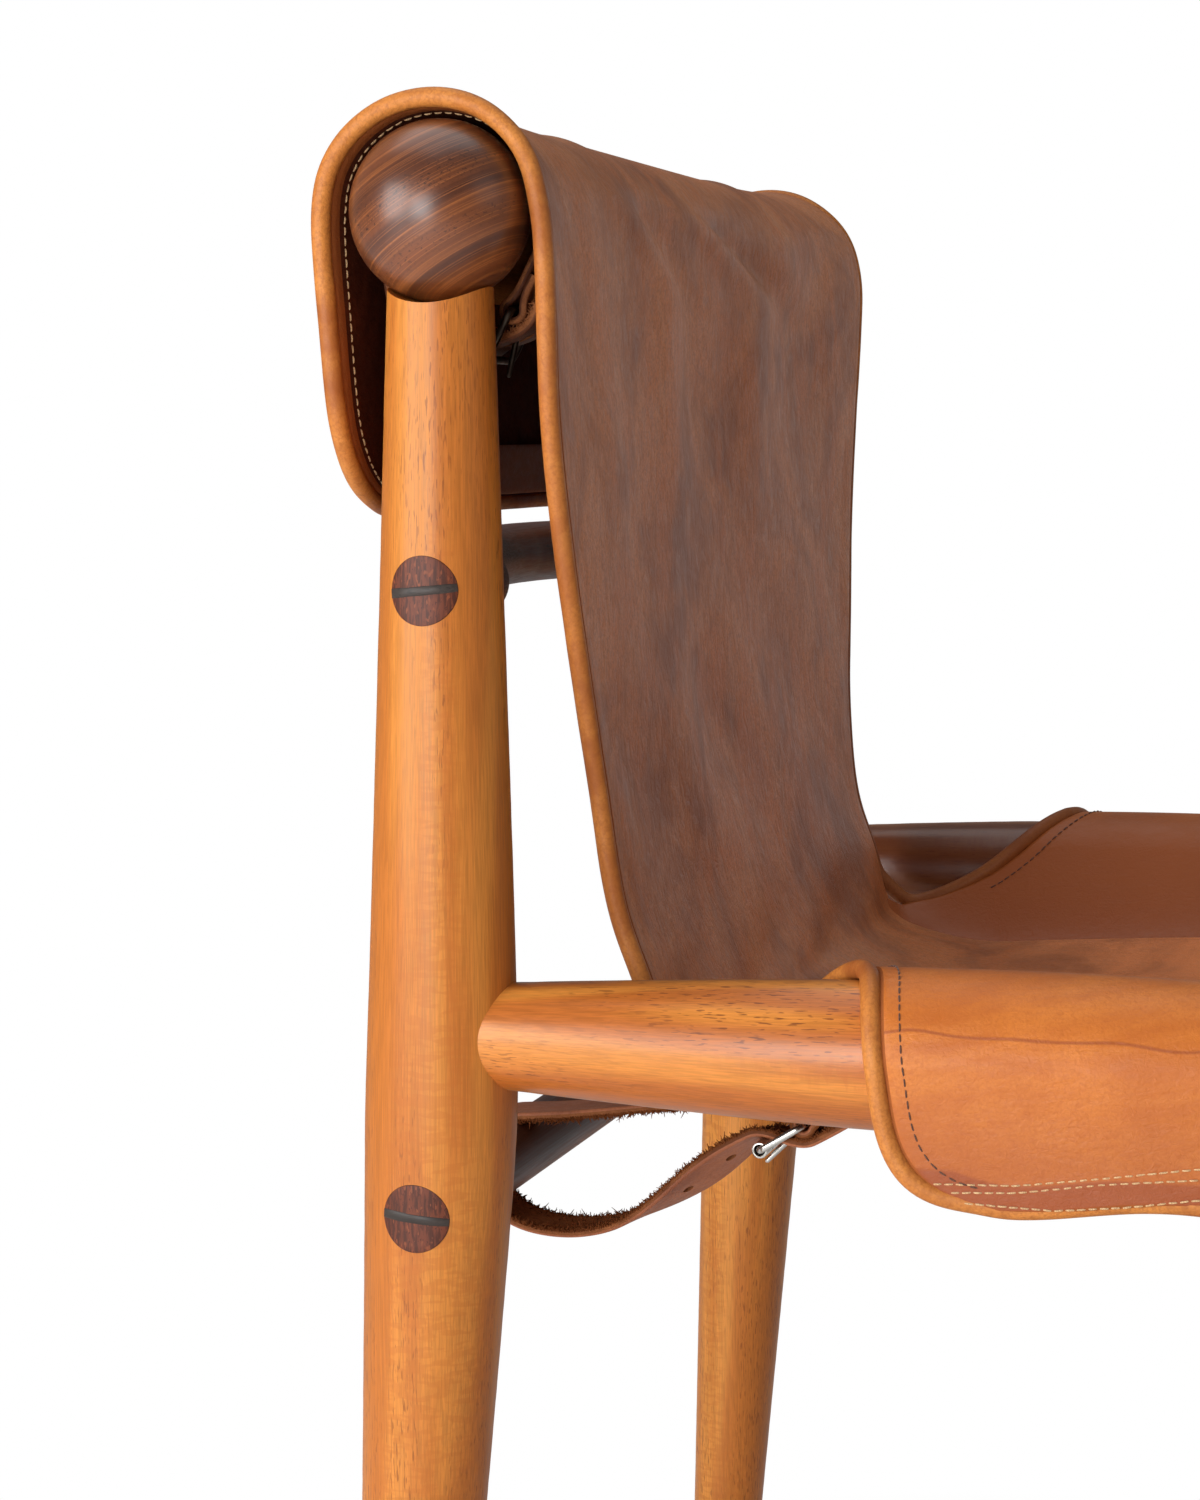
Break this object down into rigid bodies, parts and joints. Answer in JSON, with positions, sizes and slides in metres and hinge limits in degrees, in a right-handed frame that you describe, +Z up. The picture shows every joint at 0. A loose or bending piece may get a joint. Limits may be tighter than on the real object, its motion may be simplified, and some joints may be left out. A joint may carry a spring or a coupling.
{
  "type": "sling chair",
  "caption": "Turned-wood side chair with a hooded leather sling for back and seat, held by buckled belts.",
  "frame": {"origin": "on the floor, at the middle of the footprint box", "axes": "+Z up; the sitter faces -Y; +X to the left hand of the sitter"},
  "size_m": [0.5834, 0.5344, 0.7679],
  "materials": {
    "leg_wood": "clear satin lacquer",
    "rail_wood": "clear satin lacquer",
    "ball_wood": "waxed, soft sheen",
    "dark_wood": "waxed, soft sheen",
    "wedge_wood": "matt",
    "sling_leather": "smooth grain, worn",
    "flap_leather": "smooth grain, oiled",
    "piping_leather": "smooth grain, oiled",
    "belt_leather": "grain outside, rough flesh side",
    "nickel": "bright nickel plate"
  },
  "bodies": {
    "chair": {"back_buckle_frame_left": "nickel", "back_buckle_frame_right": "nickel", "back_buckle_strap_left": "belt_leather", "back_buckle_strap_right": "belt_leather", "back_piping_left": "piping_leather", "back_piping_right": "piping_leather", "back_strap_left": "belt_leather", "back_strap_right": "belt_leather", "ball_end_left": "ball_wood", "ball_end_right": "ball_wood", "flap_hem_left": "flap_leather", "flap_hem_right": "flap_leather", "flap_piping_left": "piping_leather", "flap_piping_right": "piping_leather", "front_leg_left": "leg_wood", "front_leg_right": "leg_wood", "front_stretcher": "dark_wood", "front_stretcher_wedge_left": "wedge_wood", "front_stretcher_wedge_right": "wedge_wood", "lower_rear_stretcher": "dark_wood", "lower_rear_stretcher_wedge_left": "wedge_wood", "lower_rear_stretcher_wedge_right": "wedge_wood", "rear_flap_band": "flap_leather", "rear_flap_piping": "piping_leather", "rear_leg_left": "leg_wood", "rear_leg_right": "leg_wood", "seat_buckle_frame_left": "nickel", "seat_buckle_frame_right": "nickel", "seat_buckle_strap_left": "belt_leather", "seat_buckle_strap_right": "belt_leather", "seat_front_piping": "piping_leather", "seat_strap_left": "belt_leather", "seat_strap_right": "belt_leather", "side_flap_left": "flap_leather", "side_flap_right": "flap_leather", "side_rail_left": "rail_wood", "side_rail_right": "rail_wood", "sling_back": "sling_leather", "sling_hood": "sling_leather", "sling_seat": "sling_leather", "top_rail": "rail_wood", "under_buckle_frame_front": "nickel", "under_buckle_frame_rear": "nickel", "under_buckle_strap_front": "belt_leather", "under_buckle_strap_rear": "belt_leather", "under_strap_front": "belt_leather", "under_strap_rear": "belt_leather", "upper_back_rail": "dark_wood", "upper_back_rail_wedge_left": "wedge_wood", "upper_back_rail_wedge_right": "wedge_wood"},
    "seat_buckle_prong_right": {"seat_buckle_prong_right": "nickel"},
    "seat_buckle_roller_right": {"seat_buckle_roller_right": "nickel"},
    "back_buckle_prong_right": {"back_buckle_prong_right": "nickel"},
    "seat_buckle_prong_left": {"seat_buckle_prong_left": "nickel"},
    "seat_buckle_roller_left": {"seat_buckle_roller_left": "nickel"},
    "back_buckle_prong_left": {"back_buckle_prong_left": "nickel"},
    "under_buckle_prong_rear": {"under_buckle_prong_rear": "nickel"},
    "under_buckle_prong_front": {"under_buckle_prong_front": "nickel"}
  },
  "joints": [
    {"name": "seat_buckle_prong_right_hinge", "type": "hinge", "parent": "chair", "child": "seat_buckle_prong_right", "pos_m": [-0.155, 0.08494, 0.37928], "axis": [-1, 0, 0], "range_deg": [0, 25]},
    {"name": "seat_buckle_roller_right_spin", "type": "hinge", "parent": "chair", "child": "seat_buckle_roller_right", "pos_m": [-0.155, 0.1019, 0.36868], "axis": [1, 0, 0], "continuous": true},
    {"name": "back_buckle_prong_right_hinge", "type": "hinge", "parent": "chair", "child": "back_buckle_prong_right", "pos_m": [-0.22, 0.18094, 0.69], "axis": [-1, 0, 0], "range_deg": [0, 25]},
    {"name": "seat_buckle_prong_left_hinge", "type": "hinge", "parent": "chair", "child": "seat_buckle_prong_left", "pos_m": [0.155, 0.08494, 0.37928], "axis": [-1, 0, 0], "range_deg": [0, 25]},
    {"name": "seat_buckle_roller_left_spin", "type": "hinge", "parent": "chair", "child": "seat_buckle_roller_left", "pos_m": [0.155, 0.1019, 0.36868], "axis": [1, 0, 0], "continuous": true},
    {"name": "back_buckle_prong_left_hinge", "type": "hinge", "parent": "chair", "child": "back_buckle_prong_left", "pos_m": [0.22, 0.18094, 0.69], "axis": [-1, 0, 0], "range_deg": [0, 25]},
    {"name": "under_buckle_prong_rear_hinge", "type": "hinge", "parent": "chair", "child": "under_buckle_prong_rear", "pos_m": [0.07, -0.01906, 0.376], "axis": [0, -1, 0], "range_deg": [0, 25]},
    {"name": "under_buckle_prong_front_hinge", "type": "hinge", "parent": "chair", "child": "under_buckle_prong_front", "pos_m": [0.07, -0.12466, 0.376], "axis": [0, -1, 0], "range_deg": [0, 25]}
  ]
}
